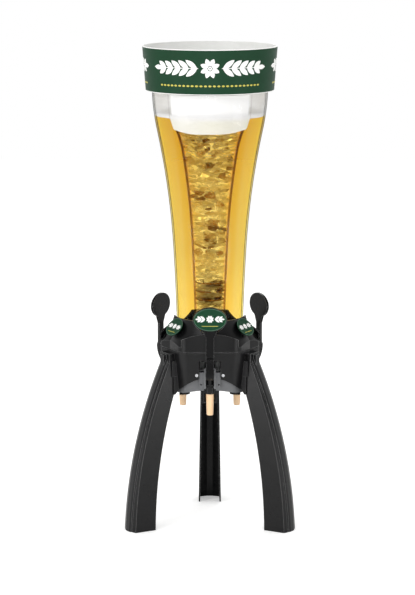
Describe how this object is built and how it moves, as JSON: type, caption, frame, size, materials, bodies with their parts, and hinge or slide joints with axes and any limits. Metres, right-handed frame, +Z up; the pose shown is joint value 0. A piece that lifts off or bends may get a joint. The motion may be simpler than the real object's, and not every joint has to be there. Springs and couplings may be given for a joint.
{
  "type": "beer tower dispenser",
  "caption": "Tabletop drink tower: a flared clear tank with an inner ice tube, a moulded base with lever taps and badge plates, and curved legs.",
  "frame": {"origin": "on the tower axis, in the plane of the table that the feet stand on", "axes": "+Z up along the tower axis; -Y points at the front tap; +X to the right of someone facing the front tap"},
  "size_m": [0.319, 0.3023, 0.897],
  "materials": {
    "black_moulding": "moulded black plastic with a satin sheen",
    "gloss_black_cover": "moulded black plastic, smooth and glossy",
    "grey_moulding": "dark grey moulded plastic, matt",
    "clear_plastic": "clear polished plastic",
    "white_plastic": "white moulded plastic",
    "green_print": "dark green printed film, satin",
    "green_badge": "dark green enamel-like plate with a pale rim",
    "bright_steel": "bright steel",
    "seal_rubber": "black soft rubber",
    "hose_vinyl": "translucent vinyl tube",
    "peach_spout": "peach coloured food plastic",
    "lever_black": "black plastic, satin",
    "tap_black": "black plastic, glossy"
  },
  "bodies": {
    "base": {"base_cover": "gloss_black_cover", "base_housing": "black_moulding", "bay_screws": "bright_steel", "chassis": "grey_moulding", "feed_hose_front": "hose_vinyl", "feed_hose_left": "hose_vinyl", "feed_hose_right": "hose_vinyl", "leg_front_left": "black_moulding", "leg_front_right": "black_moulding", "leg_rear": "black_moulding", "leg_screws": "bright_steel", "lever_pin_front": "bright_steel", "lever_pin_left": "bright_steel", "lever_pin_right": "bright_steel", "lobe_badge_front_left": "green_badge", "lobe_badge_front_right": "green_badge", "lobe_badge_rear": "green_badge", "tap_body_front": "tap_black", "tap_body_left": "tap_black", "tap_body_right": "tap_black", "tap_cap_front": "tap_black", "tap_cap_left": "tap_black", "tap_cap_right": "tap_black", "tap_nut_front": "tap_black", "tap_nut_left": "tap_black", "tap_nut_right": "tap_black", "tap_spout_front": "peach_spout", "tap_spout_left": "peach_spout", "tap_spout_right": "peach_spout", "valve_manifold": "grey_moulding"},
    "lever_front": {"tap_lever_front": "lever_black", "paddle_badge_front": "green_badge"},
    "plunger_front": {"plunger_front": "white_plastic", "plunger_seal_front": "seal_rubber", "plunger_spring_front": "bright_steel"},
    "lever_right": {"tap_lever_right": "lever_black", "paddle_badge_right": "green_badge"},
    "plunger_right": {"plunger_right": "white_plastic", "plunger_seal_right": "seal_rubber", "plunger_spring_right": "bright_steel"},
    "lever_left": {"tap_lever_left": "lever_black", "paddle_badge_left": "green_badge"},
    "plunger_left": {"plunger_left": "white_plastic", "plunger_seal_left": "seal_rubber", "plunger_spring_left": "bright_steel"},
    "tank": {"tank": "clear_plastic", "neck_seal": "seal_rubber", "crown_ring": "white_plastic", "crown_sleeve": "green_print"},
    "ice_core": {"ice_core": "clear_plastic"},
    "lid": {"lid": "clear_plastic"}
  },
  "joints": [
    {"name": "lever_pull_front", "type": "hinge", "parent": "base", "child": "lever_front", "pos_m": [0, -0.072, 0.3], "axis": [1, 0, 0], "range_deg": [0, 25], "stiffness_Nm_per_rad": 0.8, "springref_deg": -20.05},
    {"name": "plunger_lift_front", "type": "slide", "parent": "base", "child": "plunger_front", "axis": [0, 0, 1], "range_m": [0, 0.0055], "deforming": ["plunger_spring_front"]},
    {"name": "lever_pull_right", "type": "hinge", "parent": "base", "child": "lever_right", "pos_m": [0.06235, 0.036, 0.3], "axis": [-0.5, 0.866, 0], "range_deg": [0, 25], "stiffness_Nm_per_rad": 0.8, "springref_deg": -20.05},
    {"name": "plunger_lift_right", "type": "slide", "parent": "base", "child": "plunger_right", "axis": [0, 0, 1], "range_m": [0, 0.0055], "deforming": ["plunger_spring_right"]},
    {"name": "lever_pull_left", "type": "hinge", "parent": "base", "child": "lever_left", "pos_m": [-0.06235, 0.036, 0.3], "axis": [-0.5, -0.866, 0], "range_deg": [0, 25], "stiffness_Nm_per_rad": 0.8, "springref_deg": -20.05},
    {"name": "plunger_lift_left", "type": "slide", "parent": "base", "child": "plunger_left", "axis": [0, 0, 1], "range_m": [0, 0.0055], "deforming": ["plunger_spring_left"]},
    {"name": "tank_lift", "type": "slide", "parent": "base", "child": "tank", "axis": [0, 0, 1], "range_m": [0, 0.12]},
    {"name": "ice_core_lift", "type": "slide", "parent": "tank", "child": "ice_core", "axis": [0, 0, 1], "range_m": [0, 0.53]},
    {"name": "lid_lift", "type": "slide", "parent": "ice_core", "child": "lid", "axis": [0, 0, 1], "range_m": [0, 0.09]}
  ],
  "couplings": [
    {"joint": "plunger_lift_front", "follows": "lever_pull_front", "m_per_rad": 0.0123},
    {"joint": "plunger_lift_right", "follows": "lever_pull_right", "m_per_rad": 0.0123},
    {"joint": "plunger_lift_left", "follows": "lever_pull_left", "m_per_rad": 0.0123}
  ]
}
